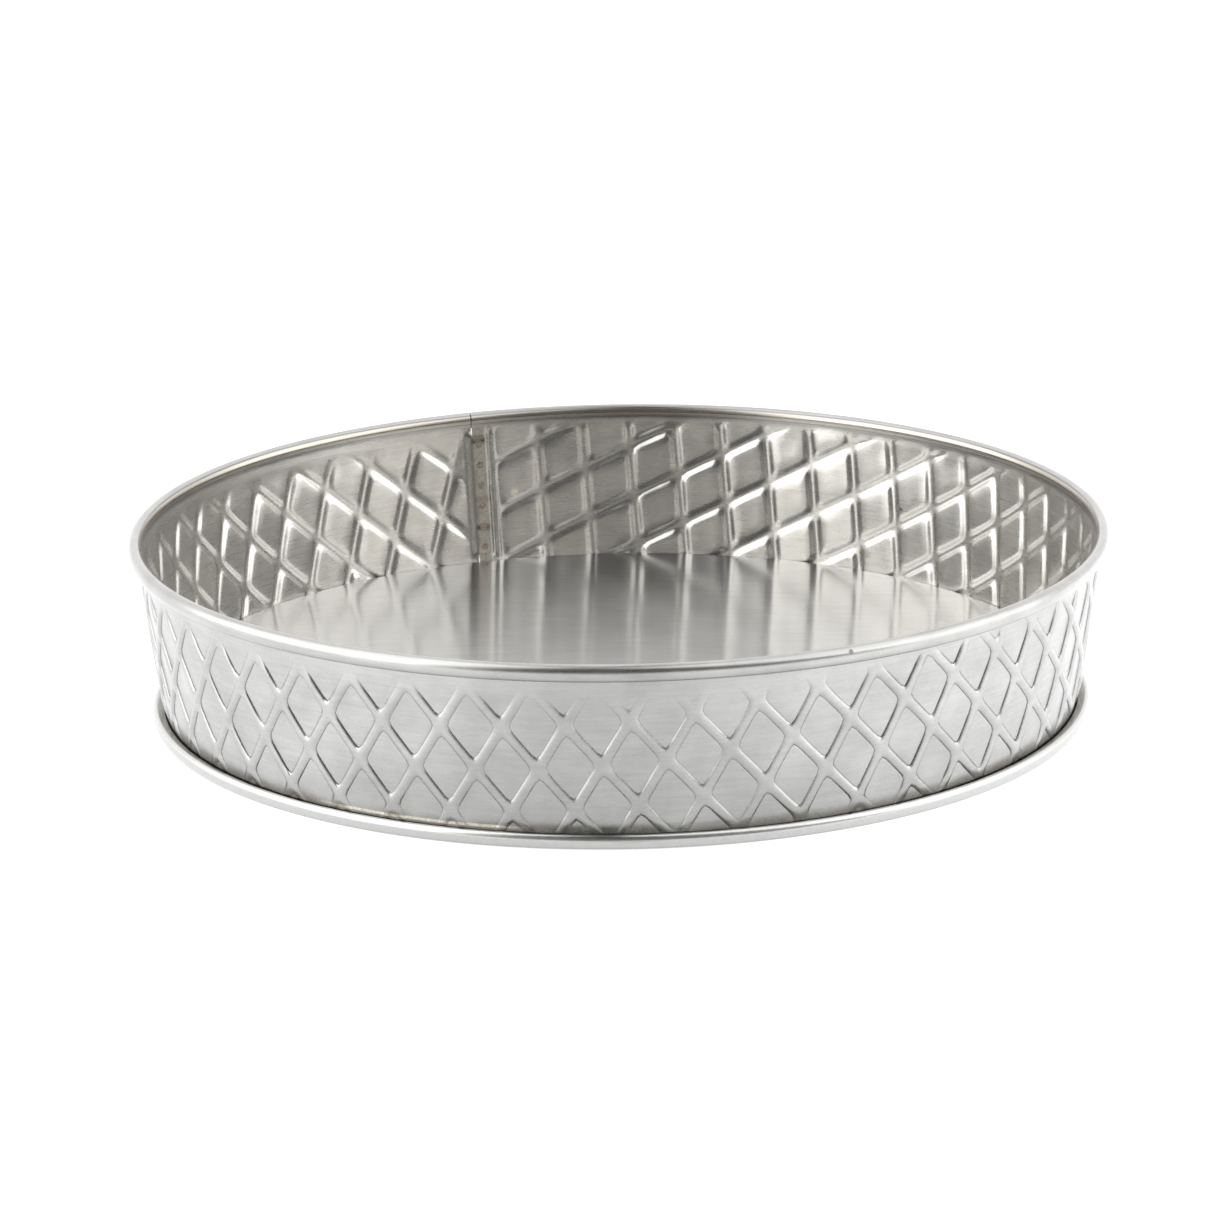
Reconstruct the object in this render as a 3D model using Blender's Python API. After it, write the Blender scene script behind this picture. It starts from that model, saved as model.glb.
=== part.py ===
"""Round shallow steel pan with a flared wall, a rolled rim and a hemmed, recessed base.

The wall is one strip of sheet bent into a ring. Its ends lap at the back and are spot welded,
its top edge is rolled outward round a wire, and its bottom edge is flanged outward. The base is
a second sheet: a raised floor, a short skirt inside the wall, and an edge hemmed over the flange.

Metres, +Z up, the pan standing on Z = 0 with its axis on Z and its front towards -Y.
"""
import math

import bmesh
import bpy
from mathutils import Matrix, Vector

MM = 0.001

# Overall size
RIM_DIAMETER = 266.7 * MM
FOOT_DIAMETER = 256.0 * MM
HEIGHT = 50.4 * MM
FLOOR_TOP = 7.5 * MM

# Sheet metal
SHEET = 0.6 * MM
CLEARANCE = 0.3 * MM
WALL_FLARE = 0.1415                  # growth of the wall's radius per metre of height
LAYER = SHEET + CLEARANCE            # from one sheet's middle to the middle of the sheet on it

# Rolled rim, an oval about the wire
BEAD_WIDTH = 3.6 * MM
BEAD_HEIGHT = 4.7 * MM
BEAD_FROM = math.radians(205)
BEAD_TO = math.radians(-105)
WIRE_RADIUS = 0.85 * MM

# Foot: the wall's flange and the hem that closes over it
HEM_WIDTH = 2.1 * MM
HEM_HEIGHT = 3.9 * MM
HEM_TO = math.radians(100)
HEM_LIP_HEIGHT = 2.8 * MM
FLANGE_BEND = 1.0 * MM
FLOOR_BEND = 1.2 * MM

# Lap seam at the back, measured round the wall
SEAM_AZIMUTH = math.radians(-160.8)    # from the front, positive towards +X
JOGGLE_LENGTH = 2.5 * MM
LAP_LENGTH = 3.7 * MM
LAP_BOTTOM = 9.5 * MM
LAP_TOP = 43.5 * MM
LAP_FADE = 1.6 * MM                  # height over which the lap's step dies out in the wall
WELD_COUNT = 6
WELD_RADIUS = 1.05 * MM
WELD_FROM = 11.5 * MM
WELD_TO = 41.2 * MM
WELD_PROUD = 0.1 * MM

COLUMNS = 72
WIRE_SIDES = 8
WELD_SIDES = 16

# Worked out from the dimensions above
RIM_RADIUS = RIM_DIAMETER / 2
FOOT_RADIUS = FOOT_DIAMETER / 2
BEAD_RADIUS = RIM_RADIUS - BEAD_WIDTH / 2
BEAD_CENTRE = HEIGHT - BEAD_HEIGHT / 2
WALL_AT_BEAD = BEAD_RADIUS - 0.95 * MM
HEM_RADIUS = FOOT_RADIUS - HEM_WIDTH / 2
FLANGE_LEVEL = SHEET / 2 + LAYER
LAP_RADIUS = WALL_AT_BEAD - WALL_FLARE * (BEAD_CENTRE - (LAP_BOTTOM + LAP_TOP) / 2)


def wall_radius(height):
    """Radius of the middle of the wall's sheet at a height."""
    return WALL_AT_BEAD - WALL_FLARE * (BEAD_CENTRE - height)


def arc(centre, half_width, half_height, start, end, steps):
    """Points along part of an oval in the (radius, height) plane."""
    angles = [start + (end - start) * step / steps for step in range(steps + 1)]
    return [
        (centre[0] + half_width * math.cos(a), centre[1] + half_height * math.sin(a))
        for a in angles
    ]


def offset_line(line, distance):
    """Move a (radius, height) line to its left by a distance."""
    points = [Vector(p) for p in line]
    moved = []
    for index, point in enumerate(points):
        before = points[max(index - 1, 0)]
        after = points[min(index + 1, len(points) - 1)]
        first = (point - before).normalized() if index else (after - point).normalized()
        second = (after - point).normalized() if after != point else first
        along = (first + second).normalized()
        stretch = 1 / max(along.dot(first), 0.5)
        normal = Vector((-along.y, along.x))
        moved.append(point + normal * distance * stretch)
    return moved


def wall_line():
    """Middle of the wall's sheet, from the flange's edge up to the end of the rim's roll."""
    flange_edge = HEM_RADIUS
    bend_centre = (wall_radius(FLANGE_LEVEL + FLANGE_BEND) + FLANGE_BEND, FLANGE_LEVEL + FLANGE_BEND)
    bend = arc(bend_centre, FLANGE_BEND, FLANGE_BEND, math.radians(270), math.radians(180), 3)
    heights = [LAP_BOTTOM - LAP_FADE, LAP_BOTTOM, LAP_TOP, LAP_TOP + LAP_FADE]
    straight = [(wall_radius(height), height) for height in heights]
    roll = arc(
        (BEAD_RADIUS, BEAD_CENTRE),
        (BEAD_WIDTH - SHEET) / 2,
        (BEAD_HEIGHT - SHEET) / 2,
        BEAD_FROM,
        BEAD_TO,
        10,
    )
    return [(flange_edge, FLANGE_LEVEL)] + bend + straight + roll


def base_line():
    """Middle of the base's sheet, from the pan's axis out to the lip of the hem."""
    level = FLOOR_TOP - SHEET / 2
    bend_height = FLANGE_LEVEL + FLANGE_BEND
    bend_centre = (wall_radius(bend_height) + FLANGE_BEND, bend_height)
    skirt_top = level - FLOOR_BEND
    corner = (wall_radius(skirt_top) - LAYER - FLOOR_BEND, skirt_top)
    floor_bend = arc(corner, FLOOR_BEND, FLOOR_BEND, math.radians(90), 0, 3)
    foot_bend = arc(
        bend_centre,
        FLANGE_BEND + LAYER,
        FLANGE_BEND + LAYER,
        math.radians(180),
        math.radians(270),
        3,
    )
    hem = arc(
        (HEM_RADIUS, HEM_HEIGHT / 2),
        (HEM_WIDTH - SHEET) / 2,
        (HEM_HEIGHT - SHEET) / 2,
        math.radians(-90),
        HEM_TO,
        7,
    )
    lip = (wall_radius(HEM_LIP_HEIGHT) + LAYER, HEM_LIP_HEIGHT)
    return [(0, level)] + floor_bend + foot_bend + hem + [lip]


def place(radius, height, azimuth):
    """A point at a radius and height, at an azimuth from the front towards +X."""
    return Vector((radius * math.sin(azimuth), -radius * math.cos(azimuth), height))


def add_face(bm, corners):
    """Make a face from the corners that differ, where an axis point can occur twice."""
    unique = list(dict.fromkeys(corners))
    bm.faces.new(unique)


def finish_object(name, bm, material, smooth=True):
    """Turn a bmesh into a named object with one material."""
    bmesh.ops.recalc_face_normals(bm, faces=bm.faces)
    mesh = bpy.data.meshes.new(name)
    bm.to_mesh(mesh)
    bm.free()
    mesh.materials.append(material)
    mesh.polygons.foreach_set("use_smooth", [smooth] * len(mesh.polygons))
    thing = bpy.data.objects.new(name, mesh)
    bpy.context.scene.collection.objects.link(thing)
    return thing


def make_material(name, colour, roughness):
    """A bare metal with the given colour and roughness."""
    material = bpy.data.materials.new(name)
    material.use_nodes = True
    shader = material.node_tree.nodes["Principled BSDF"]
    shader.inputs["Base Color"].default_value = (*colour, 1)
    shader.inputs["Metallic"].default_value = 1
    shader.inputs["Roughness"].default_value = roughness
    return material


def lathe(bm, section, closed_on_axis):
    """Turn a (radius, height) section right round the axis."""
    rings = []
    for radius, height in section:
        if closed_on_axis and abs(radius) < SHEET:
            rings.append([bm.verts.new((0, 0, height))] * COLUMNS)
            continue
        angles = [SEAM_AZIMUTH + math.tau * column / COLUMNS for column in range(COLUMNS)]
        rings.append([bm.verts.new(place(radius, height, angle)) for angle in angles])
    pairs = list(zip(rings, rings[1:]))
    if not closed_on_axis:
        pairs.append((rings[-1], rings[0]))
    for ring, following in pairs:
        for column in range(COLUMNS):
            beside = (column + 1) % COLUMNS
            add_face(bm, (ring[column], ring[beside], following[beside], following[column]))


def make_base_disc(material):
    """Raised floor, skirt and flange, with the edge hemmed up and over the wall's flange."""
    line = base_line()
    upper = offset_line(line, SHEET / 2)
    lower = offset_line(line, -SHEET / 2)
    bm = bmesh.new()
    lathe(bm, upper + lower[::-1], closed_on_axis=True)
    return finish_object("base_disc", bm, material)


def make_rim_wire(material):
    """Wire ring that stiffens the rolled rim."""
    section = arc(
        (BEAD_RADIUS, BEAD_CENTRE), WIRE_RADIUS, WIRE_RADIUS, 0, math.tau, WIRE_SIDES
    )[:-1]
    bm = bmesh.new()
    lathe(bm, section, closed_on_axis=False)
    return finish_object("rim_wire", bm, material)


def wall_columns():
    """Angles round the wall from the seam, with how far each column is stepped inward."""
    joggle = JOGGLE_LENGTH / LAP_RADIUS
    lap = LAP_LENGTH / LAP_RADIUS
    slit = CLEARANCE / LAP_RADIUS
    even = [math.tau * column / COLUMNS for column in range(1, COLUMNS)]
    angles = [0, joggle] + even + [math.tau - lap, math.tau - slit]
    return [(angle, LAYER if angle == 0 else 0) for angle in angles]


def make_wall_band(material):
    """Strip bent into a ring, with a tongue at one end that laps inside the other end."""
    line = wall_line()
    inner = offset_line(line, SHEET / 2)
    outer = offset_line(line, -SHEET / 2)
    count = len(line)
    lap_rows = [row for row in range(count) if LAP_BOTTOM <= line[row][1] <= LAP_TOP]
    first_row, last_row = min(lap_rows), max(lap_rows)
    bm = bmesh.new()

    def add_column(angle, step, rows):
        azimuth = SEAM_AZIMUTH + angle
        sides = []
        for side in (inner, outer):
            verts = {}
            for row in rows:
                inward = step if first_row <= row <= last_row else 0
                verts[row] = bm.verts.new(place(side[row].x - inward, side[row].y, azimuth))
            sides.append(verts)
        return sides

    def join(near, far, rows):
        for side in (0, 1):
            for row in rows[:-1]:
                corners = (near[side][row], near[side][row + 1], far[side][row + 1], far[side][row])
                bm.faces.new(corners)
        for row in (rows[0], rows[-1]):
            bm.faces.new((near[0][row], near[1][row], far[1][row], far[0][row]))

    def cap(column, rows):
        for row in rows:
            verts = (column[0][row], column[0][row + 1], column[1][row + 1], column[1][row])
            bm.faces.new(verts)

    every_row = list(range(count))
    tongue_rows = list(range(first_row, last_row + 1))
    columns = [add_column(angle, step, every_row) for angle, step in wall_columns()]
    for near, far in zip(columns, columns[1:]):
        join(near, far, every_row)
    cap(columns[-1], every_row[:-1])
    cap(columns[0], [row for row in every_row[:-1] if row not in tongue_rows[:-1]])
    tongue_end = add_column(-LAP_LENGTH / LAP_RADIUS, LAYER, tongue_rows)
    join(columns[0], tongue_end, tongue_rows)
    cap(tongue_end, tongue_rows[:-1])
    return finish_object("wall_band", bm, material)


def weld_matrix(height):
    """Place of a weld's middle, with its Z axis along the wall's outward normal."""
    azimuth = SEAM_AZIMUTH - LAP_LENGTH / 2 / LAP_RADIUS
    middle = place(wall_radius(height) - LAYER / 2, height, azimuth)
    slope = math.atan(WALL_FLARE)
    outward = place(math.cos(slope), -math.sin(slope), azimuth)
    return Matrix.Translation(middle) @ outward.to_track_quat("Z", "Y").to_matrix().to_4x4()


def weld_heights():
    """Heights of the spot welds up the seam."""
    pitch = (WELD_TO - WELD_FROM) / (WELD_COUNT - 1)
    return [WELD_FROM + pitch * index for index in range(WELD_COUNT)]


def add_round_bar(bm, radius, length, matrix):
    """A closed cylinder centred on a matrix, along its Z axis."""
    bmesh.ops.create_cone(
        bm,
        cap_ends=True,
        segments=WELD_SIDES,
        radius1=radius,
        radius2=radius,
        depth=length,
        matrix=matrix,
    )


def make_spot_welds(material):
    """Nuggets that join the two layers of the lap, one object each."""
    length = LAYER + SHEET + 2 * WELD_PROUD
    welds = []
    for number, height in enumerate(weld_heights(), start=1):
        bm = bmesh.new()
        add_round_bar(bm, WELD_RADIUS, length, weld_matrix(height))
        welds.append(finish_object(f"spot_weld_{number}", bm, material, smooth=False))
    return welds


def cut_weld_seats(wall, material):
    """Open a seat for each weld nugget through both layers of the lap."""
    bm = bmesh.new()
    for height in weld_heights():
        add_round_bar(bm, WELD_RADIUS + CLEARANCE, 4 * LAYER, weld_matrix(height))
    cutter = finish_object("weld_seat_cutter", bm, material, smooth=False)
    cutter.hide_render = True
    cutter.display_type = "WIRE"
    cut = wall.modifiers.new("weld_seats", "BOOLEAN")
    cut.operation = "DIFFERENCE"
    cut.solver = "EXACT"
    cut.object = cutter
    cutter.parent = wall


def build():
    """Clear the scene and model every piece of the pan."""
    for thing in list(bpy.data.objects):
        bpy.data.objects.remove(thing, do_unlink=True)
    satin_steel = make_material("satin_steel", (0.68, 0.68, 0.67), 0.32)
    polished_steel = make_material("polished_steel", (0.66, 0.66, 0.65), 0.2)
    wire_steel = make_material("wire_steel", (0.5, 0.5, 0.5), 0.45)
    weld_steel = make_material("weld_steel", (0.42, 0.36, 0.3), 0.5)
    pieces = [
        make_wall_band(satin_steel),
        make_base_disc(polished_steel),
        make_rim_wire(wire_steel),
    ]
    pieces += make_spot_welds(weld_steel)
    cut_weld_seats(pieces[0], satin_steel)
    pan = bpy.data.objects.new("pan", None)
    bpy.context.scene.collection.objects.link(pan)
    for piece in pieces:
        piece.parent = pan


build()
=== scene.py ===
"""Looks of a round steel pan: an embossed, flared wall with a rolled rim, and a hemmed base.

Lengths are millimetres until a mesh is made. In the materials and the studio they are metres.
Azimuths are measured from the front (-Y), positive towards +X. The lap seam is at
SEAM_AZIMUTH, at the back.
"""
import math

import bmesh
import bpy
import numpy as np
from mathutils import Matrix, Vector


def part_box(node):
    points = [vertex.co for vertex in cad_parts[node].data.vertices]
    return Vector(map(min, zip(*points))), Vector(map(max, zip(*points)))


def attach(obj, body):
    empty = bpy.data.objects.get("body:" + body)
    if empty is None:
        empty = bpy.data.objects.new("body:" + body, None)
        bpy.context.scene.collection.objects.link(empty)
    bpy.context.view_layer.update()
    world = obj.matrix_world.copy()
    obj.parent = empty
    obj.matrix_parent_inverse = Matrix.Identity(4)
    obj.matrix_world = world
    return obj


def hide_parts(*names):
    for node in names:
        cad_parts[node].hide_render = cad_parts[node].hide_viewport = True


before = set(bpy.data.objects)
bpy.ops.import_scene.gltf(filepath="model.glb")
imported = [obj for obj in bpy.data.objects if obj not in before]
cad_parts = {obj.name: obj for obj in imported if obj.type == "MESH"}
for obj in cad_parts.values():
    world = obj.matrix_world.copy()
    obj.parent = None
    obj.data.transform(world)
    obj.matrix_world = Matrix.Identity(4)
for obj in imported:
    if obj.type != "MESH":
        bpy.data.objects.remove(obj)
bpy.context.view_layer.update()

MM = 0.001
SHEET = 0.6
WALL_FLARE = 0.1415                   # growth of the wall's radius per unit of height
SLOPE = math.atan(WALL_FLARE)
COLUMNS = 360                         # steps round the plain rings
SHARP_FROM = math.radians(50)

# Sizes taken from the frame
rim_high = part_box("wall_band")[1]
base_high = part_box("base_disc")[1]
wire_low, wire_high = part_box("rim_wire")
HEIGHT = rim_high.z / MM
RIM_RADIUS = rim_high.x / MM
FOOT_RADIUS = base_high.x / MM
FLOOR_TOP = base_high.z / MM
BEAD_CENTRE = (wire_low.z + wire_high.z) / 2 / MM

# Rolled rim
BEAD_WIDTH = 3.6
BEAD_HEIGHT = 2 * (HEIGHT - BEAD_CENTRE)
BEAD_RADIUS = RIM_RADIUS - BEAD_WIDTH / 2
WALL_INSIDE_BEAD = 0.95
WALL_AT_BEAD = BEAD_RADIUS - WALL_INSIDE_BEAD
BEAD_FROM = math.radians(205)
BEAD_TO = math.radians(-105)
NECK_FROM = 41.0                      # the wall draws in a little under the roll
NECK_DEPTH = 0.2
NECK_TOP = 46.3

# Foot: flange, hem and skirt
LAYER = SHEET + 0.3                   # from the middle of one sheet to the next
HEM_WIDTH = 2.1
HEM_HEIGHT = 3.9
HEM_LIP_HEIGHT = 2.8
HEM_RADIUS = FOOT_RADIUS - HEM_WIDTH / 2
FLANGE_LEVEL = SHEET / 2 + LAYER
FLANGE_BEND = 1.0
FLOOR_BEND = 1.2
FLOOR_RINGS = (0.25, 0.5, 0.75, 0.9, 0.98)

# Lap seam
SEAM_AZIMUTH = math.radians(-160.8)
JOGGLE_LENGTH = 2.5                   # the sheet steps inward over this length
LAP_LENGTH = 3.7
LAP_BOTTOM = 9.5
LAP_TOP = 43.5
LAP_FADE = 1.6
SLIT = 0.3                            # between the two ends, above and below the tongue
GROOVE_FROM_LAP = 1.7                 # a shallow groove runs beside the lap
GROOVE_HALF_WIDTH = 1.1
GROOVE_DEPTH = 0.45
JOGGLE_EMBOSS_FADE = 2.5
GROOVE_EMBOSS_FADE = (4.2, 2.6)       # before the lap
JOGGLE_CUTS = (0, 0.6, 1.25, 1.9, JOGGLE_LENGTH)
GROOVE_CUTS = (-2.8, -2.3, -1.7, -1.1, -0.6)

# Embossed lattice, laid out on the flat strip before it was bent
CELL_WIDTH = 16.44
CELL_HEIGHT = 23.65
LATTICE_TURN = math.radians(4.99)     # the lattice isn't square to the strip at the front
LATTICE_AZIMUTH = math.radians(-2.25)
LATTICE_RISE = -1.67
LATTICE_MIDDLE = 24.3                 # up the slant of the wall
LATTICE_ROWS = range(-18, 10)
LATTICE_COLUMNS = range(-62, 64)
RIDGE_HALF_WIDTH = 1.28
RIDGE_HEIGHT = 0.54
CHANNEL_HALF_WIDTH = 2.1              # the channel inside the wall is softer than the ridge
CREASE_WIDTH = 0.12                   # of the painted shade line beside a ridge, in ridge half widths
CORNER_SHARPNESS = 1.8                # higher is a sharper corner on each diamond panel
SIDE_STEPS = (0, 0.16, 0.39, 0.61, 0.84)
RING_DEPTHS = (0.35, 0.62, 0.84, 1.0, 1.14, 1.4, 1.75)
LAST_RING = 0.45                      # its size, as a share of the ring before it
CUT_TOLERANCE = 0.002
MERGE_DISTANCE = 0.05
CHAIN_REACH = 0.2                     # how near an edge's level its vertices lie
DENT_DEPTH = 0.03
DENT_TILT = 0.025

# Where the emboss starts and ends up the slant, and how it fades
EMBOSS_LOW = 3.4
EMBOSS_HIGH = 45.4
LOW_FADE = 3.5
HIGH_FADE = 5
HIGH_FADE_CUT_AT_BACK = 2
FADE_END_ABOVE = 1.2                  # where it would end on the back, above EMBOSS_HIGH
FADE_LOWER_AT_FRONT = 6
FADE_LOWER_AT_LEFT = 2.4
FRONT_MIDDLE = math.radians(1)
FRONT_WIDTH = math.radians(24)
LEFT_SIDE = (math.radians(15), math.radians(45))      # azimuths to the left
RIGHT_SIDE = (math.radians(10), math.radians(40))     # azimuths to the right
BACK_SIDE = (math.radians(60), math.radians(100))     # and on to the seam
PRESSED_LESS_AT_FRONT = 0.1
PRESSED_MORE_AT_RIGHT = 0.3
PRESSED_MORE_AT_LEFT = 0.2


def wall_radius(height):
    """Radius of the middle of the wall's sheet at a height."""
    return WALL_AT_BEAD - WALL_FLARE * (BEAD_CENTRE - height)


def arc(centre, half_width, half_height, start, end, steps):
    """Points along part of an oval in the (radius, height) plane."""
    angles = [start + (end - start) * step / steps for step in range(steps + 1)]
    return [
        (centre[0] + half_width * math.cos(a), centre[1] + half_height * math.sin(a))
        for a in angles
    ]


def flange_arc(layers_out, start, end, steps):
    """The bend from wall to flange, or the base's bend that many layers outside it."""
    height = FLANGE_LEVEL + FLANGE_BEND
    centre = (wall_radius(height) + FLANGE_BEND, height)
    radius = FLANGE_BEND + layers_out * LAYER
    return arc(centre, radius, radius, math.radians(start), math.radians(end), steps)


def place(radius, height, azimuth):
    """A point in metres at a radius and height in millimetres."""
    return Vector((radius * math.sin(azimuth), -radius * math.cos(azimuth), height)) * MM


def smooth_step(low, high, value):
    """0 below low, 1 above high, and a smooth rise between."""
    share = min(max((value - low) / (high - low), 0), 1)
    return share * share * (3 - 2 * share)


def finish_sheet(name, bm, material):
    """Make a sheet-metal object from its middle surface."""
    mesh = bpy.data.meshes.new(name)
    bm.to_mesh(mesh)
    bm.free()
    piece = bpy.data.objects.new(name, mesh)
    bpy.context.scene.collection.objects.link(piece)
    solid = piece.modifiers.new("sheet", "SOLIDIFY")
    solid.thickness = SHEET * MM
    solid.offset = 0
    solid.use_quality_normals = True
    depsgraph = bpy.context.evaluated_depsgraph_get()
    piece.data = bpy.data.meshes.new_from_object(piece.evaluated_get(depsgraph))
    piece.modifiers.clear()
    piece.data.materials.append(material)
    piece.data.polygons.foreach_set("use_smooth", [True] * len(piece.data.polygons))
    piece.data.set_sharp_from_angle(angle=SHARP_FROM)
    return piece


# --- Embossed wall ---------------------------------------------------------------------------

REFERENCE_RADIUS = wall_radius(24.05)             # where the strip's length is measured
STRIP_LENGTH = math.tau * REFERENCE_RADIUS
APEX_TO_MIDDLE = REFERENCE_RADIUS / math.sin(SLOPE)
APEX_TO_FOOT = APEX_TO_MIDDLE - LATTICE_MIDDLE


def strip_to_wall(along, up):
    """Azimuth and distance up the slant of a point of the lattice on the flat strip."""
    turn_cos, turn_sin = np.cos(LATTICE_TURN), np.sin(LATTICE_TURN)
    x = along * turn_cos - up * turn_sin
    y = APEX_TO_MIDDLE + LATTICE_RISE + along * turn_sin + up * turn_cos
    azimuth = LATTICE_AZIMUTH + np.arctan2(x, y) / math.sin(SLOPE)
    return azimuth, np.hypot(x, y) - APEX_TO_FOOT


def depth_in_cell(points):
    """How far points of one diamond are from its edges, with rounded corners."""
    half = np.array([CELL_WIDTH, CELL_HEIGHT]) / 2
    normal = half[::-1] / np.hypot(*half)
    reach = half.prod() / np.hypot(*half)
    sides = [reach - points @ (normal * sign) for sign in ((1, 1), (1, -1), (-1, 1), (-1, -1))]
    total = sum(np.exp(-CORNER_SHARPNESS * side) for side in sides)
    return -np.log(total) / CORNER_SHARPNESS


def make_cell():
    """Rings of points from a diamond's edge to its middle, their depths, and a ring's count."""
    half_width, half_height = CELL_WIDTH / 2, CELL_HEIGHT / 2
    corners = np.array([(half_width, 0), (0, half_height), (-half_width, 0), (0, -half_height)])
    edge = np.array(
        [
            corners[side] + (corners[(side + 1) % 4] - corners[side]) * step
            for side in range(4)
            for step in SIDE_STEPS
        ]
    )
    rings = [edge]
    for depth in RING_DEPTHS:
        low, high = np.zeros(len(edge)), np.ones(len(edge))
        for _ in range(24):           # halve the range until the ring lies at its depth
            middle = (low + high) / 2
            deep = depth_in_cell(edge * middle[:, None]) > depth * RIDGE_HALF_WIDTH
            low, high = np.where(deep, middle, low), np.where(deep, high, middle)
        rings.append(edge * low[:, None])
    rings.append(rings[-1] * LAST_RING)
    points = np.concatenate(rings + [np.zeros((1, 2))])
    return points, depth_in_cell(points), len(edge)


def ridge_profile(depth):
    """Share of the ridge's height at a depth from its middle line."""
    return 1 - np.clip(depth / RIDGE_HALF_WIDTH, 0, 1) ** 2.5


def channel_profile(depth):
    """Share of the channel's depth inside the wall, behind the ridge."""
    return (1 - np.clip(depth / CHANNEL_HALF_WIDTH, 0, 1) ** 2) ** 1.6


def add_cell_faces(bm, verts, around):
    """Faces of one diamond: quads between its rings, and a fan at its middle."""
    rings = [verts[start : start + around] for start in range(0, len(verts) - 1, around)]
    for low, high in zip(rings, rings[1:]):
        for step in range(around):
            beside = (step + 1) % around
            bm.faces.new((low[step], low[beside], high[beside], high[step]))
    for step in range(around):
        bm.faces.new((rings[-1][step], rings[-1][(step + 1) % around], verts[-1]))


def make_lattice():
    """The whole lattice as a flat mesh: X round the wall, Y up its slant, Z the emboss."""
    points, depths, around = make_cell()
    past_ridge = depths / RIDGE_HALF_WIDTH - 1
    heights = ridge_profile(depths)
    hollows = channel_profile(depths) - heights
    # Where the painted crease shade falls, along the foot of each ridge.
    creases = np.clip(1 - np.abs(past_ridge) / CREASE_WIDTH, 0, 1)
    random = np.random.default_rng(11)
    bm = bmesh.new()
    crease = bm.verts.layers.float.new("crease")
    hollow = bm.verts.layers.float.new("hollow")
    shared = {}                       # vertices on the edges between cells, by place
    for row in LATTICE_ROWS:
        for column in LATTICE_COLUMNS:
            tilt = random.normal(0, 1, 3)
            if (row + column) % 2 == 0:
                continue
            along = points[:, 0] + column * CELL_WIDTH / 2
            up = points[:, 1] + row * CELL_HEIGHT / 2
            azimuth, slant = strip_to_wall(along, up)
            x = (azimuth - SEAM_AZIMUTH) * REFERENCE_RADIUS
            outside = x.max() < -LAP_LENGTH or x.min() > STRIP_LENGTH - SLIT
            if outside or slant.max() < EMBOSS_LOW or slant.min() > EMBOSS_HIGH:
                continue
            dent = tilt[0] * DENT_DEPTH + (points @ tilt[1:]) * DENT_TILT
            z = heights + dent * np.clip(past_ridge, 0, 1)
            verts = []
            for index in range(len(points)):
                key = (round(along[index] * 50), round(up[index] * 50))
                vert = shared.get(key) if index < around else None
                if vert is None:
                    vert = bm.verts.new((x[index], slant[index], z[index]))
                    vert[crease] = creases[index]
                    vert[hollow] = hollows[index]
                    if index < around:
                        shared[key] = vert
                verts.append(vert)
            add_cell_faces(bm, verts, around)
    return bm


def cut_lattice(bm, position, direction, clear=False):
    """Cut the flat lattice along a line, and drop what is beyond it when asked."""
    bmesh.ops.bisect_plane(
        bm,
        geom=bm.verts[:] + bm.edges[:] + bm.faces[:],
        dist=CUT_TOLERANCE,
        plane_co=position,
        plane_no=direction,
        clear_outer=clear,
    )


def trim_lattice(bm):
    """Cut the lattice to the strip's outline and tongue, with edges where the seam needs them."""
    cut_lattice(bm, (-LAP_LENGTH, 0, 0), (-1, 0, 0), clear=True)
    cut_lattice(bm, (STRIP_LENGTH - SLIT, 0, 0), (1, 0, 0), clear=True)
    cut_lattice(bm, (0, EMBOSS_LOW, 0), (0, -1, 0), clear=True)
    cut_lattice(bm, (0, EMBOSS_HIGH, 0), (0, 1, 0), clear=True)
    for x in JOGGLE_CUTS:
        cut_lattice(bm, (x, 0, 0), (1, 0, 0))
    for offset in GROOVE_CUTS:
        cut_lattice(bm, (STRIP_LENGTH - LAP_LENGTH + offset, 0, 0), (1, 0, 0))
    for height in (LAP_BOTTOM - LAP_FADE, LAP_BOTTOM, LAP_TOP, LAP_TOP + LAP_FADE):
        cut_lattice(bm, (0, height / math.cos(SLOPE), 0), (0, 1, 0))
    low, high = LAP_BOTTOM / math.cos(SLOPE), LAP_TOP / math.cos(SLOPE)
    middles = [(face, face.calc_center_median()) for face in bm.faces]
    spare = [face for face, middle in middles if middle.x < 0 and not low < middle.y < high]
    bmesh.ops.delete(bm, geom=spare, context="FACES")
    bmesh.ops.remove_doubles(bm, verts=bm.verts, dist=MERGE_DISTANCE)


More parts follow.
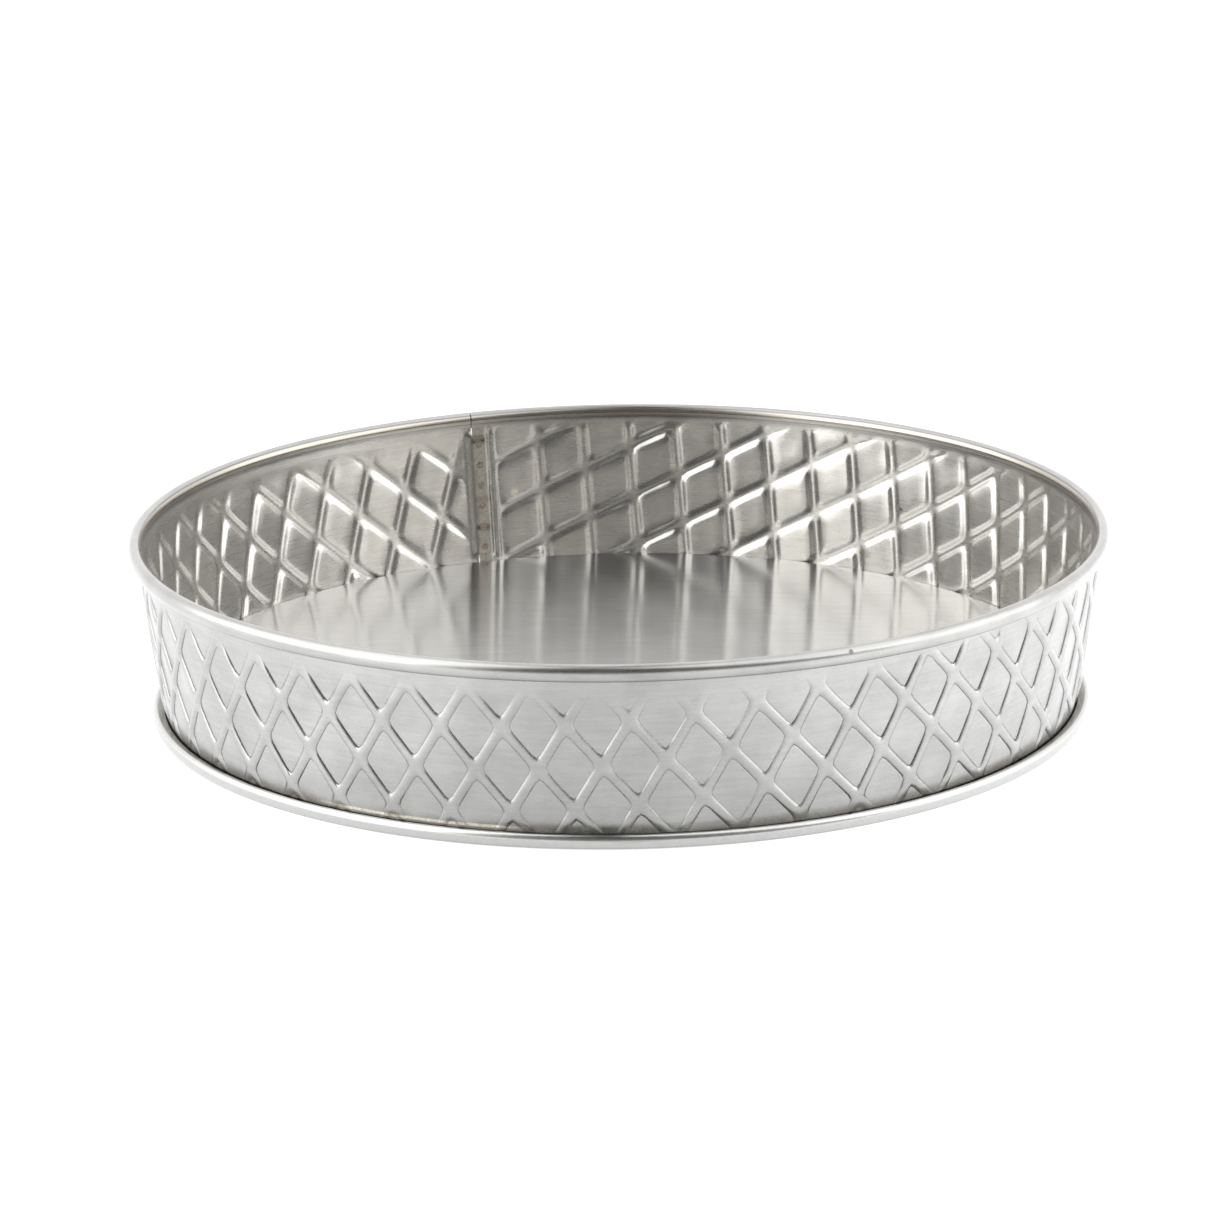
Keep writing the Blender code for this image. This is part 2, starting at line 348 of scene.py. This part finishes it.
def emboss_amount(azimuth, slant, x):
    """How strongly the lattice is pressed: it fades unevenly under the rim and at the seam."""
    front = math.exp(-(((azimuth - FRONT_MIDDLE) / FRONT_WIDTH) ** 2))
    wobble = 0.5 * math.sin(3 * azimuth + 0.6) + 0.3 * math.sin(7 * azimuth + 2)
    left = smooth_step(*LEFT_SIDE, -azimuth)
    left *= smooth_step(SEAM_AZIMUTH, SEAM_AZIMUTH + 0.02, azimuth)
    right = smooth_step(*RIGHT_SIDE, azimuth)
    back = 1.0
    if azimuth >= SEAM_AZIMUTH:
        back = smooth_step(*BACK_SIDE, azimuth)
    lower = FADE_LOWER_AT_FRONT * front + FADE_LOWER_AT_LEFT * left
    fade_to = EMBOSS_HIGH + FADE_END_ABOVE - lower + wobble * (1 - back)
    fade_from = fade_to - HIGH_FADE + HIGH_FADE_CUT_AT_BACK * back
    top = 1 - smooth_step(fade_from, fade_to, slant)
    pressed_more = PRESSED_MORE_AT_RIGHT * right + PRESSED_MORE_AT_LEFT * left
    top *= 1 - PRESSED_LESS_AT_FRONT * front + pressed_more
    bottom = smooth_step(EMBOSS_LOW, EMBOSS_LOW + LOW_FADE, slant)
    lap = STRIP_LENGTH - LAP_LENGTH
    seam = smooth_step(JOGGLE_LENGTH, JOGGLE_LENGTH + JOGGLE_EMBOSS_FADE, x)
    seam *= 1 - smooth_step(lap - GROOVE_EMBOSS_FADE[0], lap - GROOVE_EMBOSS_FADE[1], x)
    return top * bottom * seam


def seam_step(x, height):
    """How far the wall is stepped inward at the tongue, and outward at the groove beside it."""
    rise = smooth_step(LAP_BOTTOM - LAP_FADE, LAP_BOTTOM, height)
    rise *= 1 - smooth_step(LAP_TOP, LAP_TOP + LAP_FADE, height)
    inward = LAYER * (1 - smooth_step(0, JOGGLE_LENGTH, x)) * rise
    groove = STRIP_LENGTH - LAP_LENGTH - GROOVE_FROM_LAP
    outward = GROOVE_DEPTH * max(0, 1 - ((x - groove) / GROOVE_HALF_WIDTH) ** 2) * rise
    return outward - inward


def bend_lattice(bm):
    """Bend the flat lattice round the cone, and return its low and high edges along X."""
    chains = {EMBOSS_LOW: [], EMBOSS_HIGH: []}
    crease = bm.verts.layers.float["crease"]
    hollow = bm.verts.layers.float["hollow"]
    for vert in bm.verts:
        x, slant, emboss = vert.co
        for level, chain in chains.items():
            if vert.is_boundary and abs(slant - level) < CHAIN_REACH and x > -0.01:
                chain.append((x, vert))
        azimuth = SEAM_AZIMUTH + x / REFERENCE_RADIUS
        turned = (azimuth + math.pi) % math.tau - math.pi
        height = slant * math.cos(SLOPE)
        amount = emboss_amount(turned, slant, x)
        vert[crease] *= amount
        vert[hollow] *= amount * RIDGE_HEIGHT
        raised = RIDGE_HEIGHT * emboss * amount
        neck = NECK_DEPTH * smooth_step(NECK_FROM, EMBOSS_HIGH, height)
        outward = raised + seam_step(x, height) - neck
        radius = wall_radius(height) + outward * math.cos(SLOPE)
        vert.co = place(radius, height - outward * math.sin(SLOPE), azimuth)
    return [sorted(chain, key=lambda entry: entry[0]) for chain in chains.values()]


def stitch(bm, first, second):
    """Join two chains of vertices, each sorted along X, with triangles."""
    i, j = 0, 0
    while i < len(first) - 1 or j < len(second) - 1:
        step_first = j == len(second) - 1
        if not step_first and i < len(first) - 1:
            step_first = first[i + 1][0] < second[j + 1][0]
        if step_first:
            bm.faces.new((first[i][1], first[i + 1][1], second[j][1]))
            i += 1
        else:
            bm.faces.new((first[i][1], second[j + 1][1], second[j][1]))
            j += 1


def add_rows(bm, path):
    """Rows of vertices that follow a (radius, height) path all round, from slit to slit."""
    end = math.tau - SLIT / REFERENCE_RADIUS
    rows = []
    for radius, height in path:
        row = []
        for column in range(COLUMNS + 1):
            angle = end * column / COLUMNS
            vert = bm.verts.new(place(radius, height, SEAM_AZIMUTH + angle))
            row.append((angle * REFERENCE_RADIUS, vert))
        rows.append(row)
    for low, high in zip(rows, rows[1:]):
        for column in range(COLUMNS):
            corners = (low[column], low[column + 1], high[column + 1], high[column])
            bm.faces.new([corner[1] for corner in corners])
    return rows


def press_channels(mesh):
    """Turn the ridges' backs on the wall's inner face into softer channels, and mark that face."""
    half = len(mesh.vertices) // 2    # the sheet's two faces have their vertices in one order
    inside = mesh.attributes.new("inside", "FLOAT", "POINT").data
    hollow = mesh.attributes["hollow"].data
    for index in range(half):
        pair = (mesh.vertices[index], mesh.vertices[index + half])
        inner = min(pair, key=lambda vert: vert.co.xy.length)
        out = inner.co.xy.normalized() * hollow[index].value * MM
        inner.co.xy += out
        inside[inner.index].value = 1


def make_wall(material):
    """The embossed strip with its rolled rim, foot flange and lap tongue."""
    bm = make_lattice()
    trim_lattice(bm)
    lattice_low, lattice_high = bend_lattice(bm)
    roll = arc(
        (BEAD_RADIUS, BEAD_CENTRE),
        (BEAD_WIDTH - SHEET) / 2,
        (BEAD_HEIGHT - SHEET) / 2,
        BEAD_FROM,
        BEAD_TO,
        18,
    )
    top_rows = add_rows(bm, [(wall_radius(NECK_TOP) - NECK_DEPTH, NECK_TOP)] + roll)
    bend = flange_arc(0, 270, 180, 5)
    foot_top = (wall_radius(HEM_LIP_HEIGHT), HEM_LIP_HEIGHT)
    low_rows = add_rows(bm, [(HEM_RADIUS, FLANGE_LEVEL)] + bend + [foot_top])
    stitch(bm, lattice_high, top_rows[0])
    stitch(bm, low_rows[-1], lattice_low)
    bmesh.ops.recalc_face_normals(bm, faces=bm.faces)
    wall = finish_sheet("embossed_wall", bm, material)
    press_channels(wall.data)
    return wall


# --- Base ------------------------------------------------------------------------------------


def make_base(material):
    """Raised floor, skirt, foot flange and the hem over the wall's flange."""
    level = FLOOR_TOP - SHEET / 2
    skirt_top = level - FLOOR_BEND
    corner = (wall_radius(skirt_top) - LAYER - FLOOR_BEND, skirt_top)
    floor = [(corner[0] * share, level) for share in FLOOR_RINGS]
    floor_bend = arc(corner, FLOOR_BEND, FLOOR_BEND, math.radians(90), 0, 6)
    foot_bend = flange_arc(1, 180, 270, 6)
    hem = arc(
        (HEM_RADIUS, HEM_HEIGHT / 2),
        (HEM_WIDTH - SHEET) / 2,
        (HEM_HEIGHT - SHEET) / 2,
        math.radians(-90),
        math.radians(100),
        12,
    )
    lip = [(wall_radius(HEM_LIP_HEIGHT) + LAYER, HEM_LIP_HEIGHT)]
    bm = bmesh.new()
    middle = bm.verts.new((0, 0, level * MM))
    rings = [
        [bm.verts.new(place(radius, height, math.tau * step / COLUMNS)) for step in range(COLUMNS)]
        for radius, height in floor + floor_bend + foot_bend + hem + lip
    ]
    for step in range(COLUMNS):
        beside = (step + 1) % COLUMNS
        bm.faces.new((middle, rings[0][step], rings[0][beside]))
        for near, far in zip(rings, rings[1:]):
            bm.faces.new((near[step], far[step], far[beside], near[beside]))
    bmesh.ops.recalc_face_normals(bm, faces=bm.faces)
    return finish_sheet("hemmed_base", bm, material)


# --- Materials, in metres --------------------------------------------------------------------
# A pair of numbers is where something is 0 and where it reaches 1, in either order.

INNER_FACE = (0.0468, 0.0458)         # the look of the inner face ends below the rim roll
# Two faces of one steel sheet: the inner face is painted lighter as a lit copy, the outer darker
# as a shaded copy.
WALL_OUTSIDE = (0.405, 0.4, 0.39, 1)
WALL_INSIDE = (0.56, 0.545, 0.518, 1)
CREASE_SHADE = (0.09, 0.085, 0.08, 1)

# Seam, in distance round the wall from the start of the lap
BURN = ((-0.0046, -0.0036), (0.0008, -0.0002))
BURN_DARK = (0.24, 0.215, 0.185, 1)
BURN_LIGHT = (0.47, 0.435, 0.385, 1)
STEP = ((-0.0004, 0.0005), (0.003, 0.002))
GROOVE = ((-0.0068, -0.006), (-0.0042, -0.005))
SEAM_SHADOW = (0.13, 0.125, 0.12, 1)
SCORCHES = ((0.0425, 0.7), (0.0255, 0.3), (0.0172, 0.7))      # height and strength
SCORCH_REACH = (0.0016, 0.0002)
SCORCH_BLACK = (0.035, 0.028, 0.022, 1)

# Marks: position, size and colour of a rim nick and two specks, which are wear, and of a light
# scar painted whiter as a highlight
MARKS = (
    ((0.0583, -0.1195, 0.0492), 0.0009, (0.12, 0.11, 0.1, 1)),
    ((0.0815, 0.0975, 0.0265), 0.0007, (0.1, 0.09, 0.08, 1)),
    ((0.084, 0.095, 0.0383), 0.0006, (0.1, 0.09, 0.08, 1)),
    # A light scar, painted whiter as a golden-white highlight.
    ((-0.0302, 0.1232, 0.0263), 0.0016, (0.85, 0.82, 0.74, 1)),
)
# The wall gets darker towards the foot, where it meets the hem, in patches: where it rises, how
# far it wanders, its colour.
FOOT_DARK_RISE = (0.0066, 0.0036)
FOOT_DARK_WANDER = 0.0012
FOOT_DARK = (0.2, 0.185, 0.155, 1)
SCUFF_X = ((-0.081, -0.07), (-0.022, -0.034))
SCUFF_HEIGHT = 0.0044
SCUFF_REACH = (0.0006, 0.0002)
SCUFF = (0.85, 0.8, 0.68, 1)

# Under the rim
FILM_RISE = ((0.0474, 0.0477), (0.0496, 0.0493))
FILM = (0.47, 0.425, 0.36, 1)
RIM_LINES = ((0.0497, 0.8), (0.0484, 0.9), (0.0472, 0.5))     # height and strength
RIM_LINE_REACH = (0.00028, 0.00008)
RIM_LINE = (0.13, 0.115, 0.1, 1)

GRAIN_BOW = 1.2                       # how much the floor's brushing curves, per metre
FLOOR_DARK = (0.475, 0.472, 0.46, 1)
FLOOR_LIGHT = (0.565, 0.561, 0.547, 1)


class Nodes:
    """Short calls for building a node tree."""

    def __init__(self, owner):
        owner.use_nodes = True
        self.material = owner
        self.tree = owner.node_tree
        self.shader = self.tree.nodes.get("Principled BSDF")

    def add(self, kind, inputs=None, **settings):
        node = self.tree.nodes.new(kind)
        for key, value in settings.items():
            setattr(node, key, value)
        for socket, value in (inputs or {}).items():
            if isinstance(value, bpy.types.NodeSocket):
                self.tree.links.new(value, node.inputs[socket])
            else:
                node.inputs[socket].default_value = value
        return node

    def math(self, operation, *values):
        node = self.add("ShaderNodeMath", dict(enumerate(values)), operation=operation)
        return node.outputs[0]

    def plus(self, first, second):
        return self.math("ADD", first, second)

    def times(self, first, *others):
        for other in others:
            first = self.math("MULTIPLY", first, other)
        return first

    def position(self):
        return self.add("ShaderNodeTexCoord").outputs["Object"]

    def split(self, vector):
        return self.add("ShaderNodeSeparateXYZ", {0: vector}).outputs

    def join(self, x, y, z):
        return self.add("ShaderNodeCombineXYZ", {0: x, 1: y, 2: z}).outputs[0]

    def noise(self, vector, scale, detail=3.0, roughness=0.5):
        values = {"Vector": vector, "Scale": scale, "Detail": detail, "Roughness": roughness}
        return self.add("ShaderNodeTexNoise", values).outputs["Fac"]

    def attribute(self, name):
        return self.add("ShaderNodeAttribute", attribute_name=name).outputs["Fac"]

    def between(self, share, low, high):
        """Map a share from 0 to 1 to a range."""
        values = {"Value": share, 3: low, 4: high}
        return self.add("ShaderNodeMapRange", values).outputs["Result"]

    def spread(self, value, low, high):
        """Map a 0.3 to 0.7 noise value to a range."""
        values = {"Value": value, 1: 0.3, 2: 0.7, 3: low, 4: high}
        return self.add("ShaderNodeMapRange", values).outputs["Result"]

    def ramp(self, value, zero_at, one_at):
        """A smooth rise from 0 to 1, or a fall when the ends are swapped."""
        low, high = min(zero_at, one_at), max(zero_at, one_at)
        at_low, at_high = (0.0, 1.0) if zero_at < one_at else (1.0, 0.0)
        values = {"Value": value, 1: low, 2: high, 3: at_low, 4: at_high}
        node = self.add("ShaderNodeMapRange", values, interpolation_type="SMOOTHSTEP")
        return node.outputs["Result"]

    def band(self, value, rise, fall):
        """1 in a band of the value, with soft ends."""
        return self.times(self.ramp(value, *rise), self.ramp(value, *fall))

    def line(self, value, middle, reach):
        """1 near one level of the value."""
        away = self.math("ABSOLUTE", self.math("SUBTRACT", value, middle))
        return self.ramp(away, *reach)

    def mix(self, factor, first, second):
        node = self.add("ShaderNodeMix", {0: factor, 6: first, 7: second}, data_type="RGBA")
        return node.outputs[2]

    def shaded(self, colour, amount):
        """A colour times an amount."""
        node = self.add("ShaderNodeVectorMath", {0: colour, 1: amount}, operation="MULTIPLY")
        return node.outputs[0]

    def bump(self, height, distance, strength=1.0):
        values = {"Height": height, "Distance": distance, "Strength": strength}
        return self.add("ShaderNodeBump", values).outputs["Normal"]

    def connect(self, **sockets):
        names = {
            "colour": "Base Color",
            "roughness": "Roughness",
            "normal": "Normal",
            "tangent": "Tangent",
        }
        for key, value in sockets.items():
            self.tree.links.new(value, self.shader.inputs[names[key]])


def round_the_axis(nodes):
    """Coordinates that run round the pan, out from its axis and up, in metres."""
    x, y, z = nodes.split(nodes.position())
    along = nodes.times(nodes.math("ARCTAN2", x, y), REFERENCE_RADIUS * MM)
    radius = nodes.math("SQRT", nodes.plus(nodes.times(x, x), nodes.times(y, y)))
    return along, radius, z


def near_seam(nodes):
    """Distance round the wall from the seam, in metres, and 1 on the seam's side of the pan."""
    x, y, _ = nodes.split(nodes.position())
    turn_cos, turn_sin = math.cos(SEAM_AZIMUTH), math.sin(SEAM_AZIMUTH)
    across = nodes.plus(nodes.times(x, turn_cos), nodes.times(y, turn_sin))
    out = nodes.math("SUBTRACT", nodes.times(x, turn_sin), nodes.times(y, turn_cos))
    return across, nodes.math("GREATER_THAN", out, 0.0)


def add_seam_look(nodes, colour, inside, z, speck):
    """Burnt strip at the lap, shadow on the step and the groove, scorches. Also the burn."""
    across, seam_side = near_seam(nodes)
    seam_side = nodes.times(seam_side, inside)
    burn = nodes.times(nodes.band(across, *BURN), seam_side)
    tint = nodes.mix(nodes.spread(speck, 0, 1), BURN_DARK, BURN_LIGHT)
    colour = nodes.mix(nodes.times(burn, 0.85), colour, tint)
    shadow = nodes.plus(nodes.band(across, *STEP), nodes.band(across, *GROOVE))
    colour = nodes.mix(nodes.times(shadow, seam_side, 0.35), colour, SEAM_SHADOW)
    for height, strength in SCORCHES:
        spot = nodes.times(nodes.line(z, height, SCORCH_REACH), burn)
        spot = nodes.times(spot, nodes.spread(speck, 0, 1.6 * strength))
        colour = nodes.mix(spot, colour, SCORCH_BLACK)
    return colour, burn


def add_marks_foot_dark_and_highlight(nodes, colour, z, cloud, speck):
    """Small marks, one a scar painted as a highlight, the wall darker towards the foot at the hem,
    and a golden scuff above the hem.
    """
    position = nodes.position()
    # The dark marks are wear; the light scar is a painted highlight.
    for place_of_mark, size, tone in MARKS:
        values = {0: position, 1: place_of_mark}
        away = nodes.add("ShaderNodeVectorMath", values, operation="DISTANCE").outputs["Value"]
        spot = nodes.times(nodes.ramp(away, size, size * 0.4), nodes.spread(speck, 0.2, 1.4))
        colour = nodes.mix(spot, colour, tone)
    # Darker towards the foot, where the wall meets the hem.
    foot = nodes.plus(z, nodes.spread(cloud, -FOOT_DARK_WANDER, FOOT_DARK_WANDER))
    foot_dark = nodes.times(nodes.ramp(foot, *FOOT_DARK_RISE), nodes.spread(speck, 0.25, 0.85))
    colour = nodes.mix(foot_dark, colour, FOOT_DARK)
    x, y, _ = nodes.split(position)
    scuff = nodes.times(nodes.band(x, *SCUFF_X), nodes.math("LESS_THAN", y, 0.0))
    scuff = nodes.times(scuff, nodes.line(z, SCUFF_HEIGHT, SCUFF_REACH))
    scuff = nodes.times(scuff, nodes.spread(speck, 0.1, 1.3))
    return nodes.mix(scuff, colour, SCUFF)


def add_rim_film(nodes, colour, radius, z, cloud, speck):
    """A tan film and dark lines on the inner side of the rim."""
    rim_side = nodes.ramp(radius, BEAD_RADIUS * MM, (BEAD_RADIUS - 0.6) * MM)
    film = nodes.times(nodes.band(z, *FILM_RISE), rim_side, nodes.spread(speck, 0.4, 0.9))
    colour = nodes.mix(film, colour, FILM)
    for height, strength in RIM_LINES:
        line = nodes.times(nodes.line(z, height, RIM_LINE_REACH), rim_side)
        line = nodes.times(line, nodes.spread(cloud, 0.5 * strength, strength))
        colour = nodes.mix(line, colour, RIM_LINE)
    return colour


def wall_metal():
    """Satin steel brushed along the strip, burnt at the seam, the inner face painted lighter,
    painted shade in creases.
    """
    nodes = Nodes(bpy.data.materials.new("brushed_wall_steel"))
    along, radius, z = round_the_axis(nodes)
    grain = nodes.noise(nodes.join(nodes.times(along, 0.025), radius, z), 3600, 3, 0.6)
    brushing = nodes.noise(nodes.join(nodes.times(along, 0.08), radius, z), 900, 4, 0.65)
    cloud = nodes.noise(nodes.position(), 60, 4, 0.6)
    speck = nodes.noise(nodes.position(), 1500, 4, 0.7)
    inside = nodes.times(nodes.attribute("inside"), nodes.ramp(z, *INNER_FACE))
    # Painted light: the inner face takes the lighter, lit copy of the steel's colour.
    colour = nodes.mix(inside, WALL_OUTSIDE, WALL_INSIDE)
    shade = nodes.plus(nodes.times(grain, 0.4), nodes.times(brushing, 0.6))
    shade = nodes.times(nodes.spread(shade, 0.9, 1.08), nodes.spread(cloud, 0.88, 1.1))
    colour = nodes.shaded(colour, shade)
    # Painted shade: a dark line along the foot of each ridge, weaker on the inner face.
    crease_shade = nodes.times(nodes.attribute("crease"), nodes.spread(cloud, 0.4, 0.9))
    crease_shade = nodes.times(crease_shade, nodes.between(inside, 1.0, 0.3))
    colour = nodes.mix(crease_shade, colour, CREASE_SHADE)
    colour, burn = add_seam_look(nodes, colour, inside, z, speck)
    colour = add_marks_foot_dark_and_highlight(nodes, colour, z, cloud, speck)
    colour = add_rim_film(nodes, colour, radius, z, cloud, speck)
    rough = nodes.plus(nodes.spread(grain, 0.265, 0.3), nodes.times(burn, 0.12))
    relief = nodes.times(grain, nodes.between(inside, 0.03, 0.012))
    normal = nodes.bump(nodes.plus(relief, nodes.times(speck, burn)), 0.00006, 0.5)
    upward = nodes.join(0.0, 0.0, 1.0)
    nodes.shader.inputs["Metallic"].default_value = 1
    nodes.shader.inputs["Anisotropic"].default_value = 0.5
    nodes.connect(colour=colour, roughness=rough, tangent=upward, normal=normal)
    return nodes.material


def floor_metal():
    """Bright steel brushed straight across, with slight arcs in the grain: polish and haze."""
    nodes = Nodes(bpy.data.materials.new("brushed_floor_steel"))
    x, y, z = nodes.split(nodes.position())
    across = nodes.plus(y, nodes.times(x, x, GRAIN_BOW))
    grain = nodes.noise(nodes.join(nodes.times(x, 0.03), across, z), 3000, 3)
    streak = nodes.noise(nodes.join(nodes.times(x, 0.06), across, z), 700, 4, 0.65)
    broad = nodes.noise(nodes.position(), 22, 3)
    shade = nodes.plus(nodes.times(grain, 0.7), nodes.times(streak, 0.3))
    both_take = {
        "Tangent": nodes.join(nodes.times(x, 2 * GRAIN_BOW), 1.0, 0.0),
        "Normal": nodes.bump(grain, 0.000004, 0.3),
    }
    colour = nodes.mix(nodes.spread(shade, 0, 1), FLOOR_DARK, FLOOR_LIGHT)
    polish = nodes.add(
        "ShaderNodeBsdfPrincipled",
        {
            "Base Color": colour,
            "Metallic": 1.0,
            "Roughness": nodes.spread(grain, 0.13, 0.17),
            "Anisotropic": 0.8,
            **both_take,
        },
    )
    haze = nodes.add(
        "ShaderNodeBsdfAnisotropic",
        {
            "Color": colour,
            "Roughness": nodes.spread(broad, 0.31, 0.34),
            "Anisotropy": -0.6,
            **both_take,
        },
        distribution="BECKMANN",
    )
    share = nodes.spread(broad, 0.35, 0.5)
    both = nodes.add("ShaderNodeMixShader", {0: share, 1: polish.outputs[0], 2: haze.outputs[0]})
    surface = nodes.tree.nodes["Material Output"].inputs["Surface"]
    nodes.tree.links.new(both.outputs[0], surface)
    nodes.tree.nodes.remove(nodes.shader)
    return nodes.material


def wire_metal():
    """Plain drawn wire."""
    nodes = Nodes(bpy.data.materials.new("drawn_wire_steel"))
    grain = nodes.noise(nodes.position(), 900)
    colour = nodes.mix(grain, (0.35, 0.35, 0.35, 1), (0.5, 0.5, 0.5, 1))
    nodes.shader.inputs["Metallic"].default_value = 1
    nodes.connect(colour=colour, roughness=nodes.spread(grain, 0.35, 0.55))
    return nodes.material


def weld_metal():
    """Weld nuggets with a brown heat tint and a pitted face."""
    nodes = Nodes(bpy.data.materials.new("heat_tinted_weld"))
    pits = nodes.noise(nodes.position(), 2600, 4)
    colour = nodes.mix(nodes.spread(pits, 0, 1), (0.1, 0.075, 0.055, 1), (0.5, 0.42, 0.34, 1))
    nodes.shader.inputs["Metallic"].default_value = 0.9
    normal = nodes.bump(pits, 0.00015, 0.8)
    nodes.connect(colour=colour, roughness=nodes.spread(pits, 0.35, 0.65), normal=normal)
    return nodes.material


# --- Studio ----------------------------------------------------------------------------------

FRONT_LIGHT = (0.108, 0.104, 0.1, 1)
BACK_LIGHT = (1.5, 1.5, 1.5, 1)
BACK_FROM = (0.02, 0.26)
SOFTBOX_LOW_LIGHT = (2.8, 2.82, 2.8, 1)
SOFTBOX_HIGH_LIGHT = (2.0, 2.02, 2.02, 1)
LEFT_BRIGHTER = 1.18
SOFTBOX_LEAN = 0.3                    # the softboxes' near edges lean towards the middle
RIGHT_LEAN = 0.85                     # and the right one's more
RIGHT_SHIFT = math.radians(-26)
SOFTBOX_NEAR = (math.radians(38), math.radians(52))
SOFTBOX_FAR = (math.radians(122), math.radians(106))
SOFTBOX_TOP = (math.radians(88), math.radians(70))
SOFTBOX_FADE = (math.radians(20), math.radians(46))

TABLE_HALF = 4.0
TABLE_COLOUR = (0.4, 0.4, 0.4, 1)
TABLE_GLOW = (0.98, 1.0, 1.015, 1)
TABLE_GLOW_AROUND = -0.01             # the glow is weakest at this X
TABLE_GLOW_RISE = (0.01, 0.18)
TABLE_GLOW_RANGE = (0.68, 1.4)
SHADOW_UNDER_PAN = (0.119, 0.1295)           # no glow under the pan, inside this radius: a painted shadow
TABLE_LEFT = (-0.22, -0.06)
TABLE_LEFT_DIMMER = 0.78

CAMERA_ELEVATION = math.radians(17.2)
CAMERA_DISTANCE = 1.655
CAMERA_TARGET = (-0.0035, 0.0076, 0.0248)
CAMERA_ROLL = math.radians(-0.9)
SENSOR_WIDTH = 36
LENS = 178.9


def make_table():
    """White table with painted light: its glow is brighter to the sides, dimmer on the left, and
    gone under the pan as a painted shadow.
    """
    half = TABLE_HALF
    mesh = bpy.data.meshes.new("table")
    corners = [(-half, -half, 0), (half, -half, 0), (half, half, 0), (-half, half, 0)]
    mesh.from_pydata(corners, [], [(0, 1, 2, 3)])
    nodes = Nodes(bpy.data.materials.new("table_white"))
    x = nodes.split(nodes.position())[0]
    _, radius, _ = round_the_axis(nodes)
    # Painted light: the glow is brighter to the sides and dimmer on the left, with a painted
    # shadow under the pan.
    aside = nodes.math("ABSOLUTE", nodes.math("SUBTRACT", x, TABLE_GLOW_AROUND))
    strength = nodes.between(nodes.ramp(aside, *TABLE_GLOW_RISE), *TABLE_GLOW_RANGE)
    left = nodes.between(nodes.ramp(x, *TABLE_LEFT), TABLE_LEFT_DIMMER, 1.0)
    strength = nodes.times(strength, nodes.ramp(radius, *SHADOW_UNDER_PAN), left)
    nodes.shader.inputs["Base Color"].default_value = TABLE_COLOUR
    nodes.shader.inputs["Roughness"].default_value = 1.0
    nodes.shader.inputs["Specular IOR Level"].default_value = 0
    nodes.shader.inputs["Emission Color"].default_value = TABLE_GLOW
    nodes.tree.links.new(strength, nodes.shader.inputs["Emission Strength"])
    mesh.materials.append(nodes.material)
    table = bpy.data.objects.new("table", mesh)
    bpy.context.scene.collection.objects.link(table)


def make_world():
    """Soft studio: a dim front, a lighter back and a tall, leaning softbox on each side."""
    world = bpy.data.worlds.new("studio")
    nodes = Nodes(world)
    x, y, z = nodes.split(nodes.add("ShaderNodeTexCoord").outputs["Generated"])
    turn = nodes.math("ABSOLUTE", nodes.math("ARCTAN2", x, nodes.times(y, -1.0)))
    rise = nodes.math("ARCSINE", z)
    right = nodes.ramp(x, -0.01, 0.01)
    extra = nodes.times(nodes.plus(nodes.times(rise, RIGHT_LEAN), RIGHT_SHIFT), right)
    lean = nodes.plus(nodes.times(rise, SOFTBOX_LEAN), extra)
    near = nodes.ramp(nodes.plus(turn, lean), *SOFTBOX_NEAR)
    far = nodes.ramp(turn, *SOFTBOX_FAR)
    side = nodes.times(near, far, nodes.ramp(rise, *SOFTBOX_TOP))
    room = nodes.mix(nodes.ramp(y, *BACK_FROM), FRONT_LIGHT, BACK_LIGHT)
    softbox = nodes.mix(nodes.ramp(rise, *SOFTBOX_FADE), SOFTBOX_LOW_LIGHT, SOFTBOX_HIGH_LIGHT)
    softbox = nodes.shaded(softbox, nodes.between(right, LEFT_BRIGHTER, 1.0))
    background = nodes.tree.nodes["Background"]
    nodes.tree.links.new(nodes.mix(side, room, softbox), background.inputs["Color"])
    background.inputs["Strength"].default_value = 1.0
    bpy.context.scene.world = world


def add_camera():
    """Long lens, a little above the rim, aimed just above the pan's middle."""
    camera = bpy.data.cameras.new("camera")
    camera.sensor_width = SENSOR_WIDTH
    camera.lens = LENS
    holder = bpy.data.objects.new("camera", camera)
    bpy.context.scene.collection.objects.link(holder)
    ahead, above = -math.cos(CAMERA_ELEVATION), math.sin(CAMERA_ELEVATION)
    seat = Vector((0, CAMERA_DISTANCE * ahead, CAMERA_DISTANCE * above))
    aim = (Vector(CAMERA_TARGET) - seat).to_track_quat("-Z", "Y").to_matrix().to_4x4()
    roll = Matrix.Rotation(CAMERA_ROLL, 4, "Z")
    holder.matrix_world = Matrix.Translation(seat) @ aim @ roll
    bpy.context.scene.camera = holder


def main():
    wall = make_wall(wall_metal())
    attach(wall, "root")
    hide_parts("wall_band")
    base = make_base(floor_metal())
    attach(base, "root")
    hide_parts("base_disc")
    wire, weld = wire_metal(), weld_metal()
    for name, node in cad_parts.items():
        if name == "rim_wire":
            node.material_slots[0].material = wire
        elif name.startswith("spot_weld"):
            node.material_slots[0].material = weld
    make_table()
    make_world()
    add_camera()
    scene = bpy.context.scene
    scene.view_settings.view_transform = "Standard"
    scene.view_settings.look = "None"


main()
